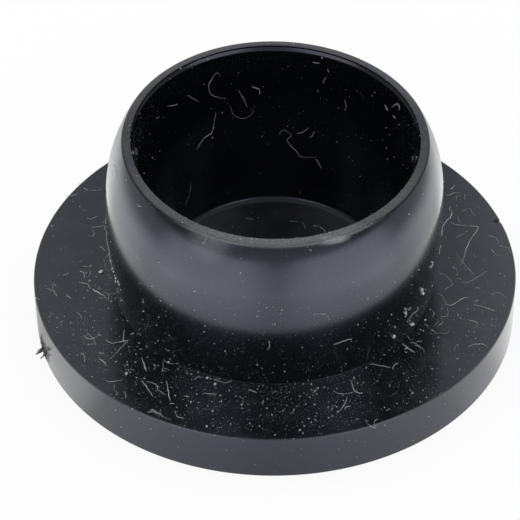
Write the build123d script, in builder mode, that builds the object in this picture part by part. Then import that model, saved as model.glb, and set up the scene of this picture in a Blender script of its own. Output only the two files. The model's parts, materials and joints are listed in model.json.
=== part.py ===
"""Moulded protective cap: a thick flange with a hollow, barrel-shaped plug collar.

The cap is one plastic moulding.  The collar is pushed into a tube or a port until
the flange stops it; the widest band of the collar is what grips the wall.

Frame: millimetres, +Z up along the axis of the cap, origin at the middle of the
flange's flat underside, so the cap stands on Z = 0 with its mouth upwards.
"""

import os
from math import radians, tan

from build123d import *

# --- flange ---------------------------------------------------------------
FLANGE_RADIUS = 20.0          # at the sharp upper edge, its widest place
FLANGE_THICKNESS = 4.25
FLANGE_DRAFT = 3.2            # degrees, the side face leans in towards the base
FLANGE_TOP_EDGE = 0.12        # radius that breaks the upper edge

# --- collar, outside ------------------------------------------------------
COLLAR_HEIGHT = 14.9          # above the flange
COLLAR_RADIUS = 13.9          # at the gripping band
BAND_HEIGHT = 8.1             # from the flange to the lower end of the band
BAND_WIDTH = 1.5              # straight, cylindrical part of the barrel
ROOT_RELIEF = 0.7             # how much the collar narrows down to its sharp root
NOSE_RELIEF = 1.25            # how much it narrows up to the rim

# --- rim and cup ----------------------------------------------------------
LIP_WIDTH = 0.80              # flat land round the mouth
LIP_OUTER_EDGE = 0.16         # radius on the outer edge of the rim
CUP_FLOOR = 4.30              # height of the cup's floor above the underside
CUP_TAPER = 2.40              # how much the cup narrows from mouth to floor
CUP_FILLET = 0.65             # radius between the cup's wall and its floor

# --- torn injection gate on the flange's side -----------------------------
GATE_BEARING = 195.4          # degrees about +Z, from +X
GATE_HEIGHT = 1.0             # middle of the gate above the underside
GATE_WIDTH = 1.5              # along the side face
GATE_THICKNESS = 0.9
GATE_STUB = 0.55              # how far the torn stub stands out
GATE_ROOT = 0.5               # how deep the stub's foot lies in the flange
GATE_TIP_SHARE = 0.4          # width and thickness left at the torn end
GATE_DROOP = 0.2              # the torn end hangs this much lower

# --- small nick in the flange's upper edge --------------------------------
NICK_BEARING = 20.5
NICK_RADIUS = 0.45
NICK_DEPTH = 0.22

# --- places that follow from the sizes ------------------------------------
flange_base_radius = FLANGE_RADIUS - FLANGE_THICKNESS * tan(radians(FLANGE_DRAFT))
rim_height = FLANGE_THICKNESS + COLLAR_HEIGHT
band_low = FLANGE_THICKNESS + BAND_HEIGHT
band_high = band_low + BAND_WIDTH
root_radius = COLLAR_RADIUS - ROOT_RELIEF
rim_radius = COLLAR_RADIUS - NOSE_RELIEF
mouth_radius = rim_radius - LIP_WIDTH
floor_radius = mouth_radius - CUP_TAPER


def round_corner(sketch, radius, height, size):
    """Round the corner of a section that lies at this radius and height."""
    corner = sketch.vertices().sort_by_distance((radius, height))[0]
    fillet(corner, radius=size)


with BuildPart() as cap_body:
    # Half section of the moulding, turned about the Z axis.
    with BuildSketch(Plane.XZ) as section:
        with BuildLine():
            Polyline(
                (root_radius, FLANGE_THICKNESS),
                (FLANGE_RADIUS, FLANGE_THICKNESS),
                (flange_base_radius, 0),
                (0, 0),
                (0, CUP_FLOOR),
                (floor_radius, CUP_FLOOR),
                (mouth_radius, rim_height),
                (rim_radius, rim_height),
            )
            # The nose curves in from the band to the rim ...
            TangentArc((COLLAR_RADIUS, band_high), (rim_radius, rim_height), tangent=(0, 1))
            Line((COLLAR_RADIUS, band_high), (COLLAR_RADIUS, band_low))
            # ... and the barrel curves in from the band to its root.
            TangentArc((COLLAR_RADIUS, band_low), (root_radius, FLANGE_THICKNESS), tangent=(0, -1))
        make_face()
        round_corner(section, FLANGE_RADIUS, FLANGE_THICKNESS, FLANGE_TOP_EDGE)
        round_corner(section, floor_radius, CUP_FLOOR, CUP_FILLET)
        round_corner(section, rim_radius, rim_height, LIP_OUTER_EDGE)
    revolve(axis=Axis.Z)

    # Torn gate: a stub that tapers from its foot inside the flange to a thin end.
    bearing = Plane.XY.rotated((0, 0, GATE_BEARING))
    outward = bearing.x_dir
    gate_foot = outward * (flange_base_radius - GATE_ROOT) + Vector(0, 0, GATE_HEIGHT)
    gate_tip = outward * (flange_base_radius + GATE_STUB) + Vector(0, 0, GATE_HEIGHT - GATE_DROOP)
    with BuildSketch(Plane(gate_foot, x_dir=bearing.y_dir, z_dir=outward)):
        Rectangle(GATE_WIDTH, GATE_THICKNESS)
    with BuildSketch(Plane(gate_tip, x_dir=bearing.y_dir, z_dir=outward)):
        Rectangle(GATE_WIDTH * GATE_TIP_SHARE, GATE_THICKNESS * GATE_TIP_SHARE)
    loft()

    # Nick: a small round bite out of the upper edge.
    with Locations(
        Plane.XY.rotated((0, 0, NICK_BEARING)).x_dir * (FLANGE_RADIUS + NICK_RADIUS - NICK_DEPTH)
        + Vector(0, 0, FLANGE_THICKNESS)
    ):
        Sphere(NICK_RADIUS, mode=Mode.SUBTRACT)

cap_body.part.label = "cap_body"

os.makedirs("parts", exist_ok=True)
export_step(cap_body.part, "parts/cap_body.step")
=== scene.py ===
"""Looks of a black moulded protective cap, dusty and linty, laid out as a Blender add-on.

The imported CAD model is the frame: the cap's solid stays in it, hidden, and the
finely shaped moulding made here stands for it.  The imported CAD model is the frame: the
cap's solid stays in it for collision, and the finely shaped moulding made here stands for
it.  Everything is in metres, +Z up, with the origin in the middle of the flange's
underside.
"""

import json
import math
import random

import bmesh
import bpy
from mathutils import Euler, Matrix, Vector, noise


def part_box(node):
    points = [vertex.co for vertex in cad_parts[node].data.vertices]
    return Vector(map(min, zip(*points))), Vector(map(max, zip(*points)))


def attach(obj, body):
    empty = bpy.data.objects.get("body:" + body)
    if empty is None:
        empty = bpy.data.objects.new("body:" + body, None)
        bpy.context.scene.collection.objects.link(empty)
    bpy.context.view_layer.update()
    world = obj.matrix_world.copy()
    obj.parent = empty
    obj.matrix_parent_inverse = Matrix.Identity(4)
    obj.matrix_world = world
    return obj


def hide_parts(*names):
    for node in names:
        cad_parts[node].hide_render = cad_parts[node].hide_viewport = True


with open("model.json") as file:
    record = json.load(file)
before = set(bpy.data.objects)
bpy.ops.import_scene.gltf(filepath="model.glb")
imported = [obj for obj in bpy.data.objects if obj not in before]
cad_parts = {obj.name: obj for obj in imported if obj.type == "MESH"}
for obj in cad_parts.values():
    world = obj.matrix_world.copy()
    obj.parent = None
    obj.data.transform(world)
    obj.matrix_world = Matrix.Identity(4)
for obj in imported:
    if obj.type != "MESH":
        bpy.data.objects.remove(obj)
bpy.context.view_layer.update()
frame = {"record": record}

bl_info = {
    "name": "Protective cap",
    "version": (1, 0, 0),
    "blender": (4, 5, 0),
    "location": "View3D > Sidebar > Cap",
    "description": "A moulded plug cap with its torn gate, dust and lint on a pale table",
    "category": "Object",
}

MM = 0.001
CAP_LOW, CAP_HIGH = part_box("cap_body")
MOUNTS = {mount["name"]: mount for mount in frame["record"]["mounts"]}
BAND = MOUNTS["plug_band"]
FLANGE_TOP = MOUNTS["flange_stop"]["pos_m"][2]


# --- settings a user would change -------------------------------------------

def srgb(code):
    """The linear colour of an sRGB hex value such as #a0b0c0."""
    parts = [int(code[i:i + 2], 16) / 255 for i in (1, 3, 5)]
    return [c / 12.92 if c <= 0.04045 else ((c + 0.055) / 1.055) ** 2.4 for c in parts]


def length(name, text, default):
    """A length property in metres."""
    return bpy.props.FloatProperty(name=name, description=text, default=default, unit="LENGTH",
                                   precision=5)


def angle(name, text, degrees):
    """An angle property."""
    return bpy.props.FloatProperty(name=name, description=text, default=math.radians(degrees),
                                   subtype="ANGLE")


def amount(name, text, default):
    """A plain number."""
    return bpy.props.FloatProperty(name=name, description=text, default=default, min=0)


def colour(name, text, code):
    """A colour property, from an sRGB hex value."""
    return bpy.props.FloatVectorProperty(name=name, description=text, default=srgb(code),
                                         subtype="COLOR", size=3, min=0, max=1)


class CapForm(bpy.types.PropertyGroup):
    """Section of the moulding; the outer sizes come from the frame."""

    flange_radius: length("Flange radius", "Upper edge of the flange", CAP_HIGH.x)
    flange_top: length("Flange thickness", "Height of the flange's upper face",
                       FLANGE_TOP + 0.04 * MM)
    flange_lean: length("Side lean", "How much smaller the flange is at its base", 0.24 * MM)
    top_edge: length("Top edge radius", "Rounding of the flange's upper edge", 0.15 * MM)
    base_edge: length("Base edge radius", "Rounding round the underside", 0.10 * MM)
    collar_radius: length("Collar radius", "At the gripping band", BAND["dims"]["r_mm"] * MM
                          + 0.03 * MM)
    band_middle: length("Band height", "Middle of the gripping band", BAND["pos_m"][2])
    band_width: length("Band width", "Straight part of the barrel", BAND["dims"]["length_mm"] * MM)
    root_relief: length("Root relief", "How much the collar narrows to the flange", 0.70 * MM)
    nose_relief: length("Nose relief", "How much the collar narrows to the rim", 1.28 * MM)
    root_fillet: length("Root fillet", "Corner between collar and flange", 0.03 * MM)
    rim_height: length("Rim height", "Height of the lip", CAP_HIGH.z)
    lip_width: length("Lip width", "Flat land round the mouth", 0.69 * MM)
    lip_outer_edge: length("Lip outer radius", "Rounding of the rim's outer edge", 0.32 * MM)
    lip_inner_edge: length("Lip inner radius", "Rounding of the rim's inner edge", 0.08 * MM)
    lip_step: length("Lip step", "Height of the small step inside the lip", 0.20 * MM)
    lead_in: length("Lead-in", "How far the bevel inside the mouth goes in", 0.20 * MM)
    lead_in_depth: length("Lead-in depth", "How far the bevel inside the mouth goes down",
                          0.46 * MM)
    cup_floor: length("Cup floor", "Height of the floor of the cup", 4.30 * MM)
    cup_foot: length("Cup foot", "Radius of the cup at its floor", 9.45 * MM)
    cup_fillet: length("Cup fillet", "Rounding between wall and floor", 0.65 * MM)
    turns: bpy.props.IntProperty(name="Facets round", description="Facets round the axis",
                                 default=560, min=48)
    crowding: amount("Crowding", "How much closer the facets stand at the gate and the nick", 0.55)


class CapMarks(bpy.types.PropertyGroup):
    """What moulding and handling left on the cap."""

    lean: angle("Lean", "How far the collar leans to the right", 0.85)
    oval: length("Oval", "How far the soft rim is out of round", 0.116 * MM)
    oval_bearing: angle("Oval bearing", "Long way of the oval rim", 128)
    lobes: length("Lobes", "Height of the three lobes of the soft rim", 0.047 * MM)
    lobe_bearing: angle("Lobe bearing", "One of the rim's three lobes", 16)
    core_shift: length("Core shift", "How far back the cup's core stood", 0.14 * MM)
    gate_bearing: angle("Gate bearing", "Where the gate was torn off", 195.5)
    gate_height: length("Gate height", "Above the underside", 1.25 * MM)
    gate_pit: length("Gate pit", "Depth of the torn hole", 0.45 * MM)
    gate_stub: length("Gate stub", "How far the torn shreds stand out", 0.78 * MM)
    nick_bearing: angle("Nick bearing", "Bite out of the upper edge", 19.6)
    nick_radius: length("Nick radius", "Roundness of the bite", 0.30 * MM)
    nick_depth: length("Nick depth", "How far the bite goes in", 0.26 * MM)
    pinhole_inset: length("Pinhole inset", "From the flange's edge to the pinhole", 0.42 * MM)
    pinhole_radius: length("Pinhole radius", "Of the pinhole beside the nick", 0.22 * MM)
    pinhole_depth: length("Pinhole depth", "How far the pinhole goes down", 0.20 * MM)
    pit_width: length("Pit half width", "Of the torn hole, along the side", 0.80 * MM)
    pit_height: length("Pit half height", "Of the torn hole", 0.62 * MM)
    pit_rim: length("Pit rim", "How far the plastic is drawn up round the hole", 0.14 * MM)
    flash: length("Flash", "Ragged edge left round the mouth", 0.06 * MM)


class CapDirt(bpy.types.PropertyGroup):
    """Dust and lint."""

    specks: amount("Dust specks", "Most specks on a square metre", 4.6e7)
    speck_small: length("Smallest speck", "Across", 0.021 * MM)
    speck_large: length("Largest speck", "Across", 0.17 * MM)
    shreds: amount("Lint shreds", "Most short fibres on a square metre", 3.2e5)
    shred_short: length("Shortest shred", "From end to end", 0.15 * MM)
    shred_long: length("Longest shred", "From end to end", 1.6 * MM)
    fibre: length("Fibre half thickness", "From a fibre's middle to its skin", 0.021 * MM)
    seed: bpy.props.IntProperty(name="Seed", description="Changes where the dirt lies", default=7)


class CapFinish(bpy.types.PropertyGroup):
    """Colours of the plastic and of what lies on it."""

    plastic: colour("Plastic", "Black moulded polyethylene", "#05070a")
    stressed: colour("Stressed plastic", "Where the gate was torn off", "#6e6f73")
    # The dust's colour is also the colour of the painted highlights and sheen on the plastic.
    dust: colour("Dust", "Pale mineral dust", "#dcddde")
    lint: colour("Lint", "Cotton and viscose fibres", "#e6e8ea")


class CapStage(bpy.types.PropertyGroup):
    """Table, light and camera."""

    camera_elevation: angle("Camera elevation", "Angle of the view above the table", 42.10)
    camera_roll: angle("Camera roll", "How much the camera leans", -0.46)
    camera_distance: length("Camera distance", "From the middle of the flange", 1.2)
    view_width: length("View width", "Width of the picture at the cap", 43.107 * MM)
    view_right: length("View right", "How far right of the middle the cap stands", 1.212 * MM)
    view_down: length("View down", "How far below the middle the cap stands", 1.362 * MM)
    table_size: length("Table size", "Side of the pale table", 0.7)
    table: colour("Table", "White table top", "#fbfcfe")


# --- small helpers ------------------------------------------------------------

def add(tree, kind, at=(0, 0), **settings):
    """Add a node. A setting names a property, or with in_ before it an input socket by name
    or, as in_0, by number; a socket as its value makes a link, and a node stands for its
    first output."""
    node = tree.nodes.new(kind)
    node.location = at
    for key, value in settings.items():
        if not key.startswith("in_"):
            setattr(node, key, value)
            continue
        name = key[3:]
        socket = node.inputs[int(name)] if name.isdigit() else node.inputs[name.replace("_", " ")]
        if isinstance(value, bpy.types.Node):
            value = value.outputs[0]
        if isinstance(value, bpy.types.NodeSocket):
            tree.links.new(value, socket)
        else:
            socket.default_value = value
    return node


def new_material(name):
    """An empty node material."""
    material = bpy.data.materials.new(name)
    material.use_nodes = True
    material.node_tree.nodes.clear()
    return material, material.node_tree


def new_geometry_tree(name, **inputs):
    """A geometry node tree with these named inputs beside its geometry and its material."""
    tree = bpy.data.node_groups.new(name, "GeometryNodeTree")
    tree.interface.new_socket("Geometry", in_out="INPUT", socket_type="NodeSocketGeometry")
    for label, value in inputs.items():
        kind = "NodeSocketInt" if isinstance(value, int) else "NodeSocketFloat"
        socket = tree.interface.new_socket(label.replace("_", " "), in_out="INPUT",
                                           socket_type=kind)
        socket.default_value = value
    tree.interface.new_socket("Material", in_out="INPUT", socket_type="NodeSocketMaterial")
    tree.interface.new_socket("Geometry", in_out="OUTPUT", socket_type="NodeSocketGeometry")
    return tree, add(tree, "NodeGroupInput", (-1400, 0)).outputs


def close_tree(tree, geometry, given, at):
    """End a tree: real geometry with its material."""
    real = add(tree, "GeometryNodeRealizeInstances", at, in_0=geometry)
    done = add(tree, "GeometryNodeSetMaterial", (at[0] + 180, at[1]), in_0=real,
               in_Material=given["Material"])
    add(tree, "NodeGroupOutput", (at[0] + 360, at[1]), in_0=done)
    return tree


def new_object(name, mesh, material=None):
    """A mesh object at the origin."""
    if material:
        mesh.materials.append(material)
    thing = bpy.data.objects.new(name, mesh)
    bpy.context.scene.collection.objects.link(thing)
    return thing


def grown(name, source, tree, material, **inputs):
    """A new object from running a geometry node tree over a mesh. The tree's inputs are set by
    identifier, and nothing but the plain mesh stays."""
    maker = new_object(name + "_maker", source)
    modifier = maker.modifiers.new(tree.name, "NODES")
    modifier.node_group = tree
    inputs["Material"] = material
    for item in tree.interface.items_tree:
        label = item.name.replace(" ", "_")
        if item.in_out == "INPUT" and label in inputs:
            modifier[item.identifier] = inputs[label]
    graph = bpy.context.evaluated_depsgraph_get()
    mesh = bpy.data.meshes.new_from_object(maker.evaluated_get(graph))
    maker.modifiers.clear()
    bpy.data.objects.remove(maker)
    mesh.name = name
    if not mesh.polygons:
        raise RuntimeError(name + " came out empty")
    mesh.materials.clear()
    mesh.polygons.foreach_set("material_index", [0] * len(mesh.polygons))
    mesh.polygons.foreach_set("use_smooth", [True] * len(mesh.polygons))
    return new_object(name, mesh, material)


def settle(piece):
    """Say that a piece belongs to the cap's only body."""
    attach(piece, "root")


def outward_at(bearing):
    """The level unit vector that points away from the axis at this bearing."""
    return Vector((math.cos(bearing), math.sin(bearing), 0))


def wall_point(radius, degrees, height):
    """The point at this radius, bearing in degrees and height."""
    turn = math.radians(degrees)
    return Vector((radius * math.cos(turn), radius * math.sin(turn), height))


def ease(value, low, high):
    """0 below low, 1 above high and a smooth rise between them."""
    share = min(1.0, max(0.0, (value - low) / (high - low)))
    return share * share * (3 - 2 * share)


# --- section of the cap -------------------------------------------------------

def barrel_radius(form, height):
    """Outer radius of the collar at this height, without its fillets."""
    low = form.band_middle - form.band_width / 2
    high = form.band_middle + form.band_width / 2
    if height < low:
        rise, fall = low - form.flange_top, form.root_relief
        away = low - height
    else:
        rise, fall = form.rim_height - high, form.nose_relief
        away = max(0.0, height - high)
    bow = (rise * rise + fall * fall) / (2 * fall)
    return form.collar_radius - bow + math.sqrt(bow * bow - away * away)


def mouth_radius(form):
    """Radius where the lip's flat land ends."""
    return form.collar_radius - form.nose_relief - form.lip_width


def cup_radius(form, height):
    """Inner radius of the cup's wall at this height, without its fillets."""
    throat = mouth_radius(form) - form.lead_in
    depth = form.rim_height - form.lead_in_depth - form.cup_floor
    return form.cup_foot + (throat - form.cup_foot) * (height - form.cup_floor) / depth


def run(start, end, step):
    """Points from start up to, but without, end, about a step apart."""
    start, end = Vector(start), Vector(end)
    count = max(1, round((end - start).length / step))
    return [start.lerp(end, i / count) for i in range(count)]


BESIDE = 0.02 * MM     # from an arc's end to the close point next to it


def rounded(points, corner, radius, parts=5):
    """The section with the corner at this point rounded by an arc, with a close point beside
    each of its ends, so that the flats next to it keep their own shading."""
    here = min(range(len(points)), key=lambda i: (points[i] - corner).length)
    tip = points[here]
    before = (points[here - 1] - tip).normalized()
    after = (points[here + 1] - tip).normalized()
    half = before.angle(after) / 2
    reach = radius / math.tan(half)
    middle = tip + (before + after).normalized() * (radius / math.sin(half))
    first, last = tip + before * reach, tip + after * reach
    sweep = math.pi - 2 * half
    arc = [tip + before * (reach + BESIDE)]
    for i in range(parts + 1):
        share = i / parts
        a = math.sin((1 - share) * sweep) / math.sin(sweep)
        b = math.sin(share * sweep) / math.sin(sweep)
        arc.append(middle + (first - middle) * a + (last - middle) * b)
    arc.append(tip + after * (reach + BESIDE))
    clear = reach + 2 * BESIDE
    kept_before = [p for p in points[:here] if (p - tip).length > clear]
    kept_after = [p for p in points[here + 1:] if (p - tip).length > clear]
    return kept_before + arc + kept_after


def cap_section(form):
    """Half section of the cap as (radius, height) points, from the cup's middle over the lip,
    down the collar, out over the flange and in again under the base."""
    rim = form.collar_radius - form.nose_relief
    root = form.collar_radius - form.root_relief
    base = form.flange_radius - form.flange_lean
    floor_corner = Vector((form.cup_foot, form.cup_floor))
    mouth_corner = Vector((mouth_radius(form), form.rim_height))
    step_corner = mouth_corner - Vector((0.02 * MM, form.lip_step))
    throat_corner = mouth_corner - Vector((form.lead_in, form.lead_in_depth))
    rim_corner = Vector((rim, form.rim_height))
    root_corner = Vector((root, form.flange_top))
    edge_corner = Vector((form.flange_radius, form.flange_top))
    base_corner = Vector((base, 0))
    # The nick and the gate need close points; the plain stretches between them don't.
    nick_start = edge_corner - Vector((0.6 * MM, 0))
    nick_end = edge_corner.lerp(base_corner, 0.14)
    gate_start = edge_corner.lerp(base_corner, 0.50)

    points = run((0, form.cup_floor), floor_corner, 1.0 * MM)
    points += run(floor_corner, throat_corner, 0.9 * MM)
    points += run(throat_corner, step_corner, 0.15 * MM)
    points += run(step_corner, mouth_corner, 0.07 * MM)
    points += run(mouth_corner, rim_corner, 0.18 * MM)
    collar = run((0, form.rim_height), (0, form.flange_top), 0.42 * MM)
    points += [Vector((barrel_radius(form, p.y), p.y)) for p in collar]
    points += run(root_corner, nick_start, 0.5 * MM)
    points += run(nick_start, edge_corner, 0.1 * MM)
    points += run(edge_corner, nick_end, 0.1 * MM)
    points += run(nick_end, gate_start, 0.3 * MM)
    points += run(gate_start, base_corner, 0.1 * MM)
    points += run(base_corner, (0, 0), 2.4 * MM)
    points.append(Vector((0, 0)))

    points = rounded(points, floor_corner, form.cup_fillet, 8)
    points = rounded(points, throat_corner, 0.5 * MM, 4)
    points = rounded(points, step_corner, 0.03 * MM, 2)
    points = rounded(points, mouth_corner, form.lip_inner_edge, 4)
    points = rounded(points, rim_corner, form.lip_outer_edge, 6)
    points = rounded(points, root_corner, form.root_fillet, 3)
    points = rounded(points, edge_corner, form.top_edge)
    return rounded(points, base_corner, form.base_edge, 4)


def lathe_tree():
    """Turns a chain of section points about the Z axis: a grid whose columns are copies of the
    section, wrapped round and merged at its seam and its two poles."""
    tree, given = new_geometry_tree("turned_moulding", Facets_Round=560, Crowding=0.5,
                                    Crowding_Bearing=0.0)
    chain = given["Geometry"]
    size = add(tree, "GeometryNodeAttributeDomainSize", (-1100, 300), in_0=chain)
    rows = size.outputs["Point Count"]
    columns = add(tree, "ShaderNodeMath", (-1100, 120), operation="ADD",
                  in_0=given["Facets Round"], in_1=1.0)
    grid = add(tree, "GeometryNodeMeshGrid", (-900, 300), in_Vertices_X=columns,
               in_Vertices_Y=rows)
    index = add(tree, "GeometryNodeInputIndex", (-1100, -60))
    column = add(tree, "ShaderNodeMath", (-900, 0), operation="DIVIDE", in_0=index, in_1=rows)
    whole = add(tree, "ShaderNodeMath", (-750, 0), operation="FLOOR", in_0=column)
    row = add(tree, "ShaderNodeMath", (-750, -180), operation="MODULO", in_0=index, in_1=rows)
    place = add(tree, "GeometryNodeInputPosition", (-750, -340))
    point = add(tree, "GeometryNodeSampleIndex", (-550, -180), data_type="FLOAT_VECTOR",
                in_0=chain, in_1=place, in_2=row)
    share = add(tree, "ShaderNodeMath", (-550, 60), operation="DIVIDE", in_0=whole,
                in_1=given["Facets Round"])
    even = add(tree, "ShaderNodeMath", (-380, 60), operation="MULTIPLY", in_0=share, in_1=math.tau)
    # Facets stand closer at the crowding bearing and opposite it.
    away = add(tree, "ShaderNodeMath", (-380, 240), operation="SUBTRACT", in_0=even,
               in_1=given["Crowding Bearing"])
    twice = add(tree, "ShaderNodeMath", (-210, 240), operation="MULTIPLY", in_0=away, in_1=2.0)
    wave = add(tree, "ShaderNodeMath", (-40, 240), operation="SINE", in_0=twice)
    half = add(tree, "ShaderNodeMath", (-40, 400), operation="MULTIPLY", in_0=given["Crowding"],
               in_1=-0.5)
    bearing = add(tree, "ShaderNodeMath", (130, 240), operation="MULTIPLY_ADD", in_0=wave,
                  in_1=half, in_2=even)
    turned = add(tree, "ShaderNodeVectorRotate", (300, 60), rotation_type="Z_AXIS",
                 in_Vector=point, in_Angle=bearing)
    wrapped = add(tree, "GeometryNodeSetPosition", (480, 240), in_0=grid.outputs["Mesh"],
                  in_Position=turned)
    # A thousandth of a millimetre: finer than any facet, coarser than rounding errors.
    merged = add(tree, "GeometryNodeMergeByDistance", (650, 240), in_0=wrapped,
                 in_Distance=0.001 * MM)
    return close_tree(tree, merged, given, (820, 240))


def warped(point, form, marks):
    """Where a point of the true moulding lies on the real one. Its collar leans a little, its
    soft rim is out of round, with an oval and three lobes, and its core stood off the middle."""
    x, y, z = point
    radius, bearing = math.hypot(x, y), math.atan2(y, x)
    moved = point.copy()
    if z < form.flange_top - 0.01 * MM or not 0.1 * MM < radius < form.collar_radius + 0.1 * MM:
        return moved
    share = ease(z, form.band_middle - form.band_width / 2, form.rim_height)
    wave = marks.oval * math.cos(2 * (bearing - marks.oval_bearing))
    wave += marks.lobes * math.cos(3 * (bearing - marks.lobe_bearing))
    moved += Vector((x, y, 0)) / radius * share * wave
    moved.x += math.tan(marks.lean) * (z - (form.flange_top + form.rim_height) / 2)
    if radius < mouth_radius(form) + 0.25 * MM:
        moved.y += marks.core_shift
    return moved


def marked(point, form, marks):
    """Where a point of the true moulding lies once the marks of its life are on it."""
    x, y, z = point
    radius, bearing = math.hypot(x, y), math.atan2(y, x)
    outward = outward_at(bearing)
    moved = warped(point, form, marks)

    # A line of ragged flash stands up round the mouth.
    if z > form.rim_height - 0.04 * MM and abs(radius - mouth_radius(form) - 0.1 * MM) < 0.08 * MM:
        ragged = noise.noise(Vector((math.cos(bearing), math.sin(bearing), 0.3)) * 30)
        moved.z += marks.flash * max(0.0, ragged + 0.12)

    # The nick is a round bite out of the upper edge.
    nick = outward_at(marks.nick_bearing)
    middle = nick * (form.flange_radius + marks.nick_radius - marks.nick_depth)
    middle.z = form.flange_top
    away = moved - middle
    if away.length < marks.nick_radius:
        rough = 1 + 0.25 * noise.noise(moved / (0.12 * MM))
        moved = middle + away.normalized() * (marks.nick_radius * rough)

    # A pinhole beside it on the flange's face.
    pinhole = nick * (form.flange_radius - marks.pinhole_inset) + Vector((0, 0, z))
    depth = 1 - (moved - pinhole).length / marks.pinhole_radius
    if abs(z - form.flange_top) < 0.01 * MM and depth > 0:
        moved.z -= marks.pinhole_depth * min(1.0, 1.5 * depth)

    # The gate tore a pit out of the side face and drew up a rim round it.
    around = (bearing - marks.gate_bearing + math.pi) % math.tau - math.pi
    on_side = radius > form.flange_radius - 0.5 * MM and z < form.flange_top - 0.3 * MM
    if on_side and abs(around) < 0.12:
        along, up = around * form.flange_radius, z - marks.gate_height
        wobble = noise.noise(moved / (0.22 * MM))
        reach = math.hypot(along / marks.pit_width, up / marks.pit_height) + 0.35 * wobble
        if reach < 1:
            moved -= outward * marks.gate_pit * (1 - reach * reach) * (0.8 + 0.5 * wobble)
        elif reach < 1.7:
            ridge = math.sin((reach - 1) / 0.7 * math.pi)
            moved += outward * marks.pit_rim * ridge * (0.6 + wobble)
    return moved


# --- materials ------------------------------------------------------------------

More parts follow.
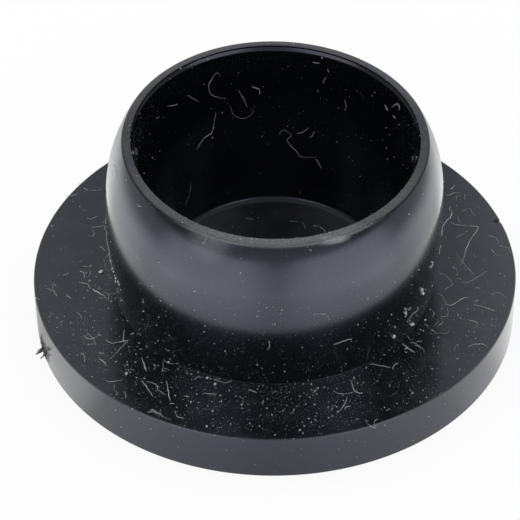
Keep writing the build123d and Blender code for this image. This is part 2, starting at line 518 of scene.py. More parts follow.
def moulded_polyethylene(finish, marks, form):
    """Black moulded polyethylene: a satin skin straight from a polished mould. The eye gets a
    soft, cool mirror image of the light round it, broken by a faint orange peel, hairline scuffs
    on the nose and smears of fine dust on the faces that look up. Painted highlights on the
    flange's edge and the lip and painted sheen on the flange and the cup's floor are in its base
    colour too."""
    material, tree = new_material("moulded_black_polyethylene")
    place = add(tree, "ShaderNodeTexCoord", (-1800, 0))
    spot = place.outputs["Object"]
    # Object coordinates in millimetres, so each scale below is in marks per millimetre.
    mm = add(tree, "ShaderNodeVectorMath", (-1600, 0), operation="SCALE", in_0=spot,
             in_Scale=1000.0)
    parts = add(tree, "ShaderNodeSeparateXYZ", (-1600, -200), in_0=spot)

    # Skin: a soft peel a few tenths of a millimetre long and a much finer grain.
    peel = add(tree, "ShaderNodeTexNoise", (-1200, -500), in_Vector=mm, in_Scale=1.6,
               in_Detail=3.0, in_Roughness=0.55)
    grain = add(tree, "ShaderNodeTexNoise", (-1200, -700), in_Vector=mm, in_Scale=14.0,
                in_Detail=2.0)
    # Drag marks from stripping the mould run up the collar.
    stretched = add(tree, "ShaderNodeVectorMath", (-1400, -900), operation="MULTIPLY", in_0=mm,
                    in_1=(5.0, 5.0, 0.35))
    drag = add(tree, "ShaderNodeTexNoise", (-1200, -900), in_Vector=stretched, in_Scale=1.0,
               in_Detail=3.0, in_Roughness=0.6)
    skin = add(tree, "ShaderNodeMath", (-1000, -600), operation="MULTIPLY_ADD", in_0=grain,
               in_1=0.10, in_2=peel)
    flat = add(tree, "ShaderNodeVectorMath", (-1400, -1000), operation="MULTIPLY", in_0=spot,
               in_1=(1, 1, 0))
    reach = add(tree, "ShaderNodeVectorMath", (-1200, -1050), operation="LENGTH", in_0=flat)
    outside = add(tree, "ShaderNodeMapRange", (-1000, -1000), in_0=reach.outputs["Value"],
                  in_1=12.0 * MM, in_2=12.4 * MM, in_4=1.5)
    skin = add(tree, "ShaderNodeMath", (-850, -700), operation="MULTIPLY_ADD", in_0=drag,
               in_1=outside, in_2=skin)
    bump = add(tree, "ShaderNodeBump", (-400, -600), in_Height=skin, in_Strength=0.5,
               in_Distance=0.004 * MM)

    # Scuffs: thin slanting hairlines on the nose, where it meets what it is pushed into.
    slanted = add(tree, "ShaderNodeMapping", (-1400, -1150), in_Vector=mm,
                  in_Rotation=(0.0, 0.6, 0.5), in_Scale=(9.0, 1.2, 9.0))
    hair = add(tree, "ShaderNodeTexNoise", (-1200, -1150), in_Vector=slanted, in_Scale=1.0,
               in_Detail=2.0)
    lines = add(tree, "ShaderNodeMapRange", (-1000, -1150), in_0=hair, in_1=0.60, in_2=0.70)
    nose = add(tree, "ShaderNodeMapRange", (-1000, -1350), interpolation_type="SMOOTHSTEP",
               in_0=parts.outputs["Z"], in_1=form.rim_height - 3.4 * MM,
               in_2=form.rim_height - 0.8 * MM)
    scuff = add(tree, "ShaderNodeMath", (-800, -1200), operation="MULTIPLY", in_0=lines, in_1=nose)

    # Smears of fine dust lie in patches on what looks up.
    face = add(tree, "ShaderNodeNewGeometry", (-1600, 500))
    lie = add(tree, "ShaderNodeSeparateXYZ", (-1400, 500), in_0=face.outputs["Normal"])
    upward = add(tree, "ShaderNodeMapRange", (-1200, 500), in_0=lie.outputs["Z"], in_1=0.5,
                 in_2=1.0)
    smear = add(tree, "ShaderNodeTexNoise", (-1200, 300), in_Vector=mm, in_Scale=0.55,
                in_Detail=6.0, in_Roughness=0.65, in_Distortion=0.4)
    patch = add(tree, "ShaderNodeMapRange", (-1000, 300), in_0=smear, in_1=0.45, in_2=0.75)
    dust_and_sheen = add(tree, "ShaderNodeMath", (-800, 400), operation="MULTIPLY", in_0=patch, in_1=upward)
    dust_and_sheen = add(tree, "ShaderNodeMath", (-650, 400), operation="MULTIPLY", in_0=dust_and_sheen, in_1=0.02)

    # Wear and painted light. A painted highlight on the flange's upper edge, the lip rubbed pale
    # with painted reflection on it, a knock and a painted glint on its edge are broken into fine
    # flecks;
    # painted sheen lies out on the flange and on the cup's floor.
    over = add(tree, "ShaderNodeMath", (-1300, 1300), operation="SUBTRACT",
               in_0=reach.outputs["Value"], in_1=form.flange_radius - 0.03 * MM)
    above = add(tree, "ShaderNodeMath", (-1300, 1450), operation="SUBTRACT",
                in_0=parts.outputs["Z"], in_1=form.flange_top - 0.03 * MM)
    aside = add(tree, "ShaderNodeCombineXYZ", (-1150, 1350), in_0=over, in_1=above)
    aside = add(tree, "ShaderNodeVectorMath", (-1000, 1350), operation="LENGTH", in_0=aside)
    # Painted highlight: a pale line along the flange's upper edge, fainter towards the middle of
    # its front and back.
    edge = add(tree, "ShaderNodeMapRange", (-850, 1350), interpolation_type="SMOOTHSTEP",
               in_0=aside.outputs["Value"], in_1=0.11 * MM, in_2=0.03 * MM, in_4=0.12)
    off = add(tree, "ShaderNodeMath", (-1000, 1200), operation="ABSOLUTE", in_0=parts.outputs["X"])
    # Painted sheen: the flange's upward face grows paler out towards its left and right ends, more
    # on the right, and the cup's floor grows paler towards its left and right.
    more = add(tree, "ShaderNodeMapRange", (-1000, 1050), in_0=parts.outputs["X"], in_1=-MM,
               in_2=MM, in_3=0.014, in_4=0.044)
    painted_side_sheen = add(tree, "ShaderNodeMapRange", (-850, 1100), in_0=off, in_1=14.5 * MM, in_2=19.5 * MM,
               in_4=more)
    painted_floor_sheen = add(tree, "ShaderNodeMapRange", (-1000, 850), interpolation_type="SMOOTHSTEP",
                  in_0=off, in_1=1.5 * MM, in_2=5.0 * MM, in_3=0.010, in_4=0.042)
    floor = add(tree, "ShaderNodeMapRange", (-850, 950), in_0=reach.outputs["Value"],
                in_1=form.cup_foot + 0.2 * MM, in_2=form.cup_foot - 0.3 * MM)
    floor = add(tree, "ShaderNodeMath", (-800, 850), operation="MULTIPLY", in_0=floor,
                in_1=painted_floor_sheen)
    painted_side_sheen = add(tree, "ShaderNodeMath", (-780, 1100), operation="MAXIMUM", in_0=painted_side_sheen, in_1=floor)
    painted_side_sheen = add(tree, "ShaderNodeMath", (-700, 1100), operation="MULTIPLY", in_0=painted_side_sheen, in_1=upward)
    off = add(tree, "ShaderNodeMapRange", (-850, 1200), in_0=off, in_1=2.0 * MM, in_2=9.0 * MM,
              in_3=0.4)
    edge = add(tree, "ShaderNodeMath", (-700, 1400), operation="MULTIPLY", in_0=edge, in_1=off)
    # The lip's land is paler all round, most at its front and back, and at its front the paleness
    # laps over its edge: partly rubbing, partly painted reflection.
    toward = add(tree, "ShaderNodeMath", (-1200, 1850), operation="ABSOLUTE",
                 in_0=parts.outputs["Y"])
    toward = add(tree, "ShaderNodeMapRange", (-1000, 1850), interpolation_type="SMOOTHSTEP",
                 in_0=toward, in_1=1.5 * MM, in_2=8.0 * MM, in_3=0.04, in_4=0.105)
    top = add(tree, "ShaderNodeMapRange", (-1000, 1600), interpolation_type="SMOOTHSTEP",
              in_0=parts.outputs["Z"], in_1=form.rim_height - 0.12 * MM,
              in_2=form.rim_height - 0.02 * MM)
    lip = add(tree, "ShaderNodeMath", (-850, 1600), operation="MULTIPLY", in_0=top, in_1=toward)
    brow = add(tree, "ShaderNodeMapRange", (-1000, 2250), interpolation_type="SMOOTHSTEP",
               in_0=parts.outputs["Z"], in_1=form.rim_height - 0.30 * MM,
               in_2=form.rim_height - 0.08 * MM)
    ahead = add(tree, "ShaderNodeMapRange", (-1000, 2500), interpolation_type="SMOOTHSTEP",
                in_0=parts.outputs["Y"], in_1=-8.5 * MM, in_2=-11.2 * MM, in_4=0.19)
    brow = add(tree, "ShaderNodeMath", (-850, 2250), operation="MULTIPLY", in_0=brow, in_1=ahead)
    lip = add(tree, "ShaderNodeMath", (-800, 1700), operation="MAXIMUM", in_0=lip, in_1=brow)
    # A broad chalky knock on the lip's outer edge, and a short bright line of painted highlight.
    knock = add(tree, "ShaderNodeVectorMath", (-1300, 1750), operation="DISTANCE", in_0=spot,
                in_1=Vector((-5.4, -11.5, 18.9)) * MM)
    knock = add(tree, "ShaderNodeMapRange", (-1150, 1750), interpolation_type="SMOOTHSTEP",
                in_0=knock.outputs["Value"], in_1=2.6 * MM, in_2=0.4 * MM, in_4=0.15)
    painted_glint = add(tree, "ShaderNodeVectorMath", (-1300, 1900), operation="MULTIPLY_ADD", in_0=spot,
                 in_1=(0.13, 0.6, 1.0), in_2=Vector((-4.7 * 0.13, 11.8 * 0.6, -18.95)) * MM)
    painted_glint = add(tree, "ShaderNodeVectorMath", (-1150, 1900), operation="LENGTH", in_0=painted_glint)
    painted_glint = add(tree, "ShaderNodeMapRange", (-1000, 1900), interpolation_type="SMOOTHSTEP",
                 in_0=painted_glint.outputs["Value"], in_1=0.45 * MM, in_2=0.12 * MM, in_4=0.36)
    drawn = add(tree, "ShaderNodeVectorMath", (-1150, 2050), operation="MULTIPLY", in_0=mm,
                in_1=(4.0, 9.0, 11.0))
    fleck = add(tree, "ShaderNodeTexNoise", (-1000, 2050), in_Vector=drawn, in_Scale=1.0,
                in_Detail=4.0, in_Roughness=0.7)
    fleck = add(tree, "ShaderNodeMapRange", (-850, 2050), in_0=fleck, in_1=0.30, in_2=0.68,
                in_3=0.40)
    # The rubbing and the painted highlights together, broken into fine flecks.
    wear_and_highlight = edge
    for row, mark in enumerate((lip, knock, painted_glint)):
        wear_and_highlight = add(tree, "ShaderNodeMath", (-750 + 50 * row, 1500 + 100 * row),
                   operation="MAXIMUM", in_0=wear_and_highlight, in_1=mark)
    wear_and_highlight = add(tree, "ShaderNodeMath", (-550, 1500), operation="MULTIPLY", in_0=wear_and_highlight, in_1=fleck)
    # Dust smears, painted sheen, rubbing and painted highlights all pale the plastic towards the
    # dust's colour.
    dust_and_sheen = add(tree, "ShaderNodeMath", (-600, 1300), operation="ADD", in_0=dust_and_sheen, in_1=painted_side_sheen)
    dust_and_sheen = add(tree, "ShaderNodeMath", (-550, 1300), operation="ADD", in_0=dust_and_sheen, in_1=wear_and_highlight)
    dusty = add(tree, "ShaderNodeMix", (-450, 300), data_type="RGBA", in_0=dust_and_sheen,
                in_6=(*finish.plastic, 1), in_7=(*finish.dust, 1))

    # Stress whitening fades out round the torn gate.
    gate = outward_at(marks.gate_bearing) * (form.flange_radius - 0.3 * MM)
    gate.z = marks.gate_height
    gap = add(tree, "ShaderNodeVectorMath", (-1200, 850), operation="DISTANCE", in_0=spot,
              in_1=gate)
    torn = add(tree, "ShaderNodeMapRange", (-1000, 850), interpolation_type="SMOOTHSTEP",
               in_0=gap.outputs["Value"], in_1=1.0 * MM, in_2=0.35 * MM)
    fret = add(tree, "ShaderNodeTexNoise", (-1000, 1050), in_Vector=mm, in_Scale=5.0,
               in_Detail=4.0, in_Roughness=0.7)
    frayed = add(tree, "ShaderNodeMapRange", (-800, 1050), in_0=fret, in_1=0.42, in_2=0.62,
                 in_4=0.5)
    white = add(tree, "ShaderNodeMath", (-600, 900), operation="MULTIPLY", in_0=torn, in_1=frayed)
    base = add(tree, "ShaderNodeMix", (-250, 400), data_type="RGBA", in_0=white,
               in_6=dusty.outputs[2], in_7=(*finish.stressed, 1))

    # Roughness: satin, duller in scuffs and quite dull where it is torn.
    dull = add(tree, "ShaderNodeMapRange", (-800, 0), in_0=peel, in_3=0.17, in_4=0.23)
    dull = add(tree, "ShaderNodeMath", (-550, 0), operation="MULTIPLY_ADD", in_0=scuff, in_1=0.25,
               in_2=dull)
    # The nose is polished by use where it meets the lip.
    polish = add(tree, "ShaderNodeMapRange", (-800, -150), interpolation_type="SMOOTHSTEP",
                 in_0=parts.outputs["Z"], in_1=form.rim_height - 0.8 * MM,
                 in_2=form.rim_height - 0.3 * MM)
    dull = add(tree, "ShaderNodeMath", (-480, -150), operation="MULTIPLY_ADD", in_0=polish,
               in_1=-0.10, in_2=dull)
    dull = add(tree, "ShaderNodeMath", (-400, 0), operation="MULTIPLY_ADD", in_0=torn, in_1=0.5,
               in_2=dull)
    shader = add(tree, "ShaderNodeBsdfPrincipled", (0, 0), in_Base_Color=base.outputs[2],
                 in_IOR=1.5, in_Roughness=dull, in_Normal=bump, in_Specular_IOR_Level=1.0,
                 in_Specular_Tint=(0.64, 0.69, 1.0, 1), in_Coat_Weight=1.0, in_Coat_Roughness=0.15,
                 in_Coat_IOR=1.5, in_Coat_Normal=bump)
    add(tree, "ShaderNodeOutputMaterial", (300, 0), in_Surface=shader)
    return material


def torn_polyethylene(finish):
    """Torn polyethylene: drawn out until it went grey, dull and fibrous."""
    material, tree = new_material("torn_polyethylene")
    place = add(tree, "ShaderNodeTexCoord", (-900, 0))
    # 9 fibres to the millimetre.
    fibres = add(tree, "ShaderNodeTexNoise", (-600, 0), in_Vector=place.outputs["Object"],
                 in_Scale=9000.0, in_Detail=3.0)
    mix = add(tree, "ShaderNodeMix", (-300, 0), data_type="RGBA", in_0=fibres,
              in_6=(*finish.plastic, 1), in_7=(*finish.stressed, 1))
    dull = add(tree, "ShaderNodeMapRange", (-300, -200), in_0=fibres, in_3=0.55, in_4=0.8)
    shader = add(tree, "ShaderNodeBsdfPrincipled", (0, 0), in_Base_Color=mix.outputs[2],
                 in_Roughness=dull, in_IOR=1.5)
    add(tree, "ShaderNodeOutputMaterial", (300, 0), in_Surface=shader)
    return material


def pale_dirt(name, code, spread, fineness):
    """Matt pale dirt whose brightness differs from grain to grain or along a fibre."""
    material, tree = new_material(name)
    place = add(tree, "ShaderNodeTexCoord", (-900, 0))
    tone = add(tree, "ShaderNodeTexNoise", (-650, 0), in_Vector=place.outputs["Object"],
               in_Scale=fineness / MM, in_Detail=1.0)
    level = add(tree, "ShaderNodeMapRange", (-450, 0), in_0=tone, in_1=0.3, in_2=0.7,
                in_3=1 - spread, in_4=1.0)
    shade = add(tree, "ShaderNodeVectorMath", (-250, 0), operation="SCALE", in_0=tuple(code),
                in_Scale=level)
    rough = add(tree, "ShaderNodeMapRange", (-250, -200), in_0=tone, in_3=0.7, in_4=0.95)
    shader = add(tree, "ShaderNodeBsdfPrincipled", (0, 0), in_Base_Color=shade, in_Roughness=rough,
                 in_IOR=1.45)
    add(tree, "ShaderNodeOutputMaterial", (300, 0), in_Surface=shader)
    return material


# --- dust and lint ------------------------------------------------------------

def dirt_share(form, point, normal):
    """How much dust (first) and lint (second) settles here, from 0 to 1. It falls from above,
    most of it lies in front of the collar, and it gathers in the crease at the collar's foot."""
    radius = math.hypot(point.x, point.y)
    root = form.collar_radius - form.root_relief
    front = 0.5 - 0.5 * point.y / max(radius, MM)
    if point.z < 0.3 * MM or normal.z < -0.3:
        return 0.0, 0.0
    if radius > root - 0.2 * MM and point.z < form.flange_top + 0.1 * MM and normal.z > 0.7:
        crowd = 0.5 + 0.5 * ease(radius, form.flange_radius - 0.2 * MM,
                                 form.flange_radius - 3.5 * MM)
        left = 0.5 + 0.45 * ease(-point.x, -12 * MM, 0) + 0.4 * ease(-point.y, 12 * MM, 16 * MM)
        crease = ease(radius, root + 0.5 * MM, root + 0.1 * MM) * ease(front, 0.3, 0.6)
        return ((0.10 + 0.77 * ease(front, 0.30, 0.90)) * crowd * left + 0.5 * crease,
                0.2 + 0.8 * abs(point.x) / radius)
    if radius > form.flange_radius - MM and point.z < form.flange_top:
        return 0.10, 0.0
    if radius > root - 0.2 * MM and point.z < form.rim_height - 0.4 * MM:
        low = ease(point.z, form.flange_top + 13 * MM, form.flange_top + 7 * MM)
        return 0.04 + 0.18 * low * ease(front, 0.65, 0.95), 0.02 + 0.05 * low
    if point.z > form.rim_height - 0.4 * MM:
        burr = ease(radius, mouth_radius(form) + 0.25 * MM, mouth_radius(form))
        burr *= ease(front, 0.93, 0.99)
        return 0.10 + 0.20 * ease(front, 0.6, 1.0) + 1.5 * burr, 0.02
    if normal.z > 0.7:
        return 0.06, 0.10
    return 0.05, 0.12


def speck_tree():
    """Scatters low, uneven grains over a mesh by its dust attribute."""
    tree, given = new_geometry_tree("dust_specks", Density=1.0, Seed=0, Smallest=0.00001,
                                    Largest=0.0001)
    load = add(tree, "GeometryNodeInputNamedAttribute", (-1100, -200), data_type="FLOAT",
               in_0="dust")
    # The grains lie in drifts one or two millimetres across.
    drift = add(tree, "ShaderNodeTexNoise", (-1300, -400), in_Scale=0.8 / MM, in_Detail=4.0,
                in_Roughness=0.65)
    drift = add(tree, "ShaderNodeMapRange", (-1100, -400), in_0=drift, in_1=0.40, in_2=0.62,
                in_3=0.08, in_4=1.0)
    load = add(tree, "ShaderNodeMath", (-1000, -200), operation="MULTIPLY", in_0=load, in_1=drift)
    dense = add(tree, "ShaderNodeMath", (-900, -100), operation="MULTIPLY", in_0=load,
                in_1=given["Density"])
    points = add(tree, "GeometryNodeDistributePointsOnFaces", (-700, 0), in_0=given["Geometry"],
                 in_4=dense, in_Seed=given["Seed"])
    grain = add(tree, "GeometryNodeMeshUVSphere", (-700, -300), in_Segments=4, in_Rings=2,
                in_Radius=0.5)
    flat = add(tree, "GeometryNodeTransform", (-500, -300), in_0=grain, in_Scale=(1.25, 0.8, 0.6))
    chance = add(tree, "FunctionNodeRandomValue", (-700, -600), in_2=0.001, in_3=1.0,
                 in_Seed=given["Seed"])
    # Sizes follow a power law: small grains outnumber large ones by far.
    rare = add(tree, "ShaderNodeMath", (-500, -600), operation="POWER", in_0=chance.outputs[1],
               in_1=-0.5)
    size = add(tree, "ShaderNodeMath", (-400, -600), operation="MULTIPLY", in_0=rare,
               in_1=given["Smallest"])
    size = add(tree, "ShaderNodeMath", (-250, -600), operation="MINIMUM", in_0=size,
               in_1=given["Largest"])
    spin = add(tree, "FunctionNodeRandomValue", (-500, -850), data_type="FLOAT_VECTOR",
               in_1=(math.tau,) * 3, in_Seed=given["Seed"])
    turn = add(tree, "FunctionNodeEulerToRotation", (-300, -850), in_0=spin)
    grains = add(tree, "GeometryNodeInstanceOnPoints", (-100, 0), in_0=points.outputs["Points"],
                 in_Instance=flat, in_Rotation=turn, in_Scale=size)
    return close_tree(tree, grains, given, (100, 0))


def wriggled(tree, curve, per_mm, reach, at):
    """The curve moved by smooth noise with this many waves to a millimetre, about this far."""
    wriggle = add(tree, "ShaderNodeTexNoise", (at[0] - 540, at[1] - 300), in_Scale=per_mm / MM,
                  in_Detail=2.0)
    middle = add(tree, "ShaderNodeVectorMath", (at[0] - 360, at[1] - 300), operation="SUBTRACT",
                 in_0=wriggle.outputs["Color"], in_1=(0.5, 0.5, 0.5))
    small = add(tree, "ShaderNodeVectorMath", (at[0] - 180, at[1] - 300), operation="SCALE",
                in_0=middle, in_Scale=reach)
    return add(tree, "GeometryNodeSetPosition", at, in_0=curve, in_Offset=small)


def thread(tree, curve, half_thickness, sides, at):
    """A closed tube along a curve, with this many sides."""
    ring = add(tree, "GeometryNodeCurvePrimitiveCircle", (at[0] - 180, at[1] + 200),
               in_Resolution=sides, in_Radius=1.0)
    return add(tree, "GeometryNodeCurveToMesh", at, in_0=curve, in_1=ring, in_Scale=half_thickness,
               in_Fill_Caps=True)


def shred_tree():
    """Scatters short bent fibres over a mesh by its lint attribute."""
    tree, given = new_geometry_tree("lint_shreds", Density=1.0, Seed=0, Shortest=0.0002,
                                    Longest=0.002, Half_Thickness=0.00001)
    load = add(tree, "GeometryNodeInputNamedAttribute", (-1100, -200), data_type="FLOAT",
               in_0="lint")
    dense = add(tree, "ShaderNodeMath", (-900, -100), operation="MULTIPLY", in_0=load,
                in_1=given["Density"])
    points = add(tree, "GeometryNodeDistributePointsOnFaces", (-700, 0), in_0=given["Geometry"],
                 in_4=dense, in_Seed=given["Seed"])
    arc = add(tree, "GeometryNodeCurveQuadraticBezier", (-700, -300), in_Resolution=12,
              in_Start=(-0.5, 0, 0.02), in_Middle=(0.05, 0.4, 0.06), in_End=(0.5, -0.05, 0.02))
    spin = add(tree, "FunctionNodeRandomValue", (-700, -900), in_2=0.0, in_3=math.tau,
               in_Seed=given["Seed"])
    about = add(tree, "FunctionNodeAxisAngleToRotation", (-500, -900), in_Axis=(0, 0, 1),
                in_Angle=spin.outputs[1])
    turn = add(tree, "FunctionNodeRotateRotation", (-300, -850), rotation_space="LOCAL",
               in_0=points.outputs["Rotation"], in_1=about)
    chance = add(tree, "FunctionNodeRandomValue", (-700, -600), in_2=0.0, in_3=1.0, in_ID=3,
                 in_Seed=given["Seed"])
    rare = add(tree, "ShaderNodeMath", (-500, -600), operation="POWER", in_0=chance.outputs[1],
               in_1=2.2)
    size = add(tree, "ShaderNodeMapRange", (-300, -600), in_0=rare, in_3=given["Shortest"],
               in_4=given["Longest"])
    arcs = add(tree, "GeometryNodeInstanceOnPoints", (-100, 0), in_0=points.outputs["Points"],
               in_Instance=arc, in_Rotation=turn, in_Scale=size)
    real = add(tree, "GeometryNodeRealizeInstances", (100, 0), in_0=arcs)
    # Each fibre wriggles by a tenth of a millimetre or so, differently along its way.
    bent = wriggled(tree, real, 2.2, 0.35 * MM, (300, 0))
    tube = thread(tree, bent, given["Half Thickness"], 3, (500, 0))
    return close_tree(tree, tube, given, (700, 0))


def fibre_tree():
    """Makes fibres along chains of edges, smoothed and a little kinked; each point's thickness
    is an attribute, and a fibre thins out to its ends."""
    tree, given = new_geometry_tree("lint_fibres", Half_Thickness=0.00001, Step=0.0001)
    curve = add(tree, "GeometryNodeMeshToCurve", (-1100, 0), in_0=given["Geometry"])
    smooth = add(tree, "GeometryNodeCurveSplineType", (-900, 0), spline_type="CATMULL_ROM",
                 in_0=curve)
    even = add(tree, "GeometryNodeResampleCurve", (-700, 0), mode="LENGTH", in_0=smooth,
               in_Length=given["Step"])
    bent = wriggled(tree, even, 3.0, 0.20 * MM, (-360, 0))
    along = add(tree, "GeometryNodeSplineParameter", (-700, -600))
    swell = add(tree, "ShaderNodeMath", (-520, -600), operation="MULTIPLY",
                in_0=along.outputs["Factor"], in_1=math.pi)
    swell = add(tree, "ShaderNodeMath", (-360, -600), operation="SINE", in_0=swell)
    swell = add(tree, "ShaderNodeMath", (-200, -600), operation="POWER", in_0=swell, in_1=0.35)
    thick = add(tree, "GeometryNodeInputNamedAttribute", (-360, -800), data_type="FLOAT",
                in_0="thick")
    half = add(tree, "ShaderNodeMath", (-200, -800), operation="MULTIPLY", in_0=thick,
               in_1=given["Half Thickness"])
    half = add(tree, "ShaderNodeMath", (-40, -700), operation="MULTIPLY", in_0=half, in_1=swell)
    tube = thread(tree, bent, half, 4, (100, 0))
    return close_tree(tree, tube, given, (300, 0))


# Long fibres as they lie: on the flange and the floor (x, y) in millimetres, on a wall
# (bearing in degrees, height in millimetres). The number is how thick the fibre is.
FLANGE_FIBRES = (
    (1.7, ((14.7, 8.4), (14.6, 8.0), (14.8, 7.8), (14.7, 7.1), (14.3, 6.6), (14.0, 5.8),
           (13.9, 4.6))),
    (1.2, ((14.6, 6.5), (15.0, 6.2), (15.8, 6.0), (16.8, 5.9), (16.9, 5.5), (16.3, 4.3),
           (15.9, 3.0), (15.6, 1.6), (15.3, 0.9))),
    (0.8, ((15.7, 7.8), (16.1, 8.1), (16.4, 7.9), (16.7, 7.2))),
    (0.8, ((14.7, 10.5), (15.0, 10.9), (15.1, 11.1))),
    (0.8, ((14.3, 9.8), (14.7, 9.9), (15.0, 10.1), (15.6, 10.2))),
    (0.7, ((15.1, 2.8), (15.3, 2.0), (16.0, 0.8), (16.6, -0.3))),
    (1.0, ((13.4, 0.5), (13.7, 0.2), (14.2, -0.2), (14.7, -1.2), (14.4, -1.6), (14.0, -2.0))),
    (0.9, ((13.4, -2.3), (13.8, -2.7), (14.2, -3.6))),
    (1.2, ((14.0, -3.6), (14.5, -3.8), (14.9, -3.6), (15.7, -2.9), (16.1, -3.0))),
    (1.1, ((16.4, -3.7), (17.3, -4.1), (18.2, -4.5))),
    (1.0, ((16.5, -3.4), (16.9, -3.2))),
    (0.8, ((14.2, -4.1), (14.3, -4.7), (14.1, -5.2), (13.7, -5.2))),
    (0.9, ((13.5, -6.3), (13.9, -5.8))),
    (0.6, ((15.5, -1.0), (16.0, -1.0), (16.8, -0.4), (17.6, 0.4))),
    (0.6, ((15.1, 4.5), (15.5, 4.8), (15.9, 5.2))),
    (1.2, ((-15.9, -7.1), (-15.6, -7.4), (-15.2, -7.6), (-14.7, -7.3))),
    (0.9, ((-15.6, -6.8), (-15.0, -7.6), (-14.9, -8.3))),
    (1.1, ((-14.0, -7.7), (-13.6, -8.1), (-13.0, -8.0), (-12.2, -7.8))),
    (1.1, ((-12.4, -6.4), (-12.5, -7.0), (-12.5, -8.1))),
    (1.1, ((-12.1, -7.7), (-12.4, -8.2), (-12.7, -8.6), (-13.3, -9.6), (-13.7, -10.1))),
    (1.5, ((-12.3, -4.9), (-12.2, -5.5))),
    (1.9, ((-12.0, -7.1), (-11.6, -6.9))),
    (1.3, ((-11.5, -6.9), (-11.2, -7.0), (-10.9, -7.5))),
    (1.6, ((-11.1, -9.8), (-10.9, -10.3), (-10.8, -11.0), (-10.7, -11.4))),
    (1.3, ((-11.1, -12.7), (-10.7, -13.3), (-10.4, -14.0), (-10.1, -14.7))),
    (1.0, ((-17.8, -5.6), (-17.5, -5.3))),
    (0.9, ((-14.6, -9.2), (-14.1, -9.4))),
    (1.0, ((-14.6, -10.0), (-14.2, -10.3), (-13.9, -10.9))),
    (0.7, ((-16.5, -4.2), (-16.1, -4.7), (-16.0, -5.2))),
    (1.6, ((6.2, -12.9), (6.5, -14.2), (7.2, -14.5))),
    (1.0, ((5.9, -14.8), (5.6, -15.9), (5.0, -16.9))),
    (1.1, ((7.7, -10.9), (8.6, -11.1), (9.5, -11.4))),
    (1.4, ((10.4, -8.4), (11.0, -9.1), (11.5, -9.6))),
    (1.2, ((10.6, -9.2), (11.0, -8.8))),
    (1.5, ((-9.0, -12.8), (-8.8, -14.2), (-8.7, -15.3))),
    (1.0, ((-6.0, -14.3), (-4.9, -14.5))),
    (1.0, ((-2.3, -13.9), (-1.5, -14.3))),
    (1.9, ((-15.1, -1.4), (-15.0, -1.6), (-14.6, -1.9), (-14.3, -2.2), (-13.9, -2.6))),
    (1.1, ((-16.0, 1.3), (-15.6, 1.3), (-15.2, 1.4))),
    (1.2, ((-15.2, 6.2), (-14.8, 6.2), (-14.4, 6.3), (-14.1, 6.4))),
    (0.9, ((-14.1, 6.4), (-14.1, 6.1), (-14.0, 5.6))),
    (1.1, ((-14.5, 3.9), (-14.2, 3.4), (-14.0, 3.3))),
    (0.7, ((-15.5, 5.2), (-15.1, 5.0), (-15.0, 5.5), (-15.2, 5.9))),
    (0.6, ((-14.5, -2.4), (-14.2, -2.8))),
    (0.9, ((-10.9, -10.3), (-10.6, -11.6))),
)
COLLAR_FIBRES = (
    (1.7, ((338.8, 10.4), (340.2, 9.7), (337.2, 9.9))),
    (1.3, ((330.0, 6.9), (330.5, 6.4), (327.3, 6.6), (324.6, 6.4))),
    (1.9, ((321.8, 8.0), (322.7, 7.5), (321.9, 7.2))),
    (1.2, ((268.0, 9.7), (268.3, 9.0), (267.3, 8.6))),
    (1.2, ((290.3, 8.3), (294.0, 8.4), (297.4, 8.4))),
    (0.7, ((181.1, 9.6), (185.4, 9.6), (188.8, 9.5), (190.9, 9.2), (192.3, 8.7), (194.8, 8.3))),
)
CUP_FIBRES = (
    (0.6, ((112.4, 16.9), (114.5, 17.3), (118.1, 16.4), (117.2, 15.4), (110.9, 14.6))),
    (0.4, ((109.3, 14.0), (107.8, 12.9), (103.4, 12.4), (99.7, 12.7), (98.2, 13.5))),
    (0.6, ((105.4, 15.2), (103.4, 14.4), (101.4, 13.4))),
    (0.7, ((116.1, 13.6), (118.8, 11.9), (123.2, 11.6), (127.6, 10.8))),
    (0.8, ((140.1, 16.5), (133.8, 16.0))),
    (0.6, ((129.1, 16.4), (123.6, 15.2))),
    (0.4, ((132.8, 8.1), (135.0, 7.1), (138.9, 6.2))),
    (0.7, ((87.7, 10.5), (85.5, 11.0), (81.8, 10.6), (83.6, 10.0), (79.3, 9.1), (76.8, 8.6),
           (69.5, 8.8))),
    (0.6, ((79.5, 10.8), (76.8, 11.0), (74.1, 11.5))),
    (0.7, ((67.8, 16.9), (69.0, 16.1))),
    (0.7, ((74.2, 18.0), (70.8, 18.0))),
    (0.9, ((36.9, 17.0), (33.9, 16.7))),
    (0.9, ((32.4, 17.3), (28.7, 18.2), (26.5, 17.8))),
    (0.9, ((30.8, 16.7), (28.3, 16.7))),
)
FLOOR_FIBRES = (
    (0.6, ((-2.4, 7.2), (-1.7, 7.0))),
    (0.6, ((1.3, 6.7), (2.0, 6.7))),
    (0.6, ((2.3, 6.7), (2.5, 6.2), (2.6, 5.7))),
)


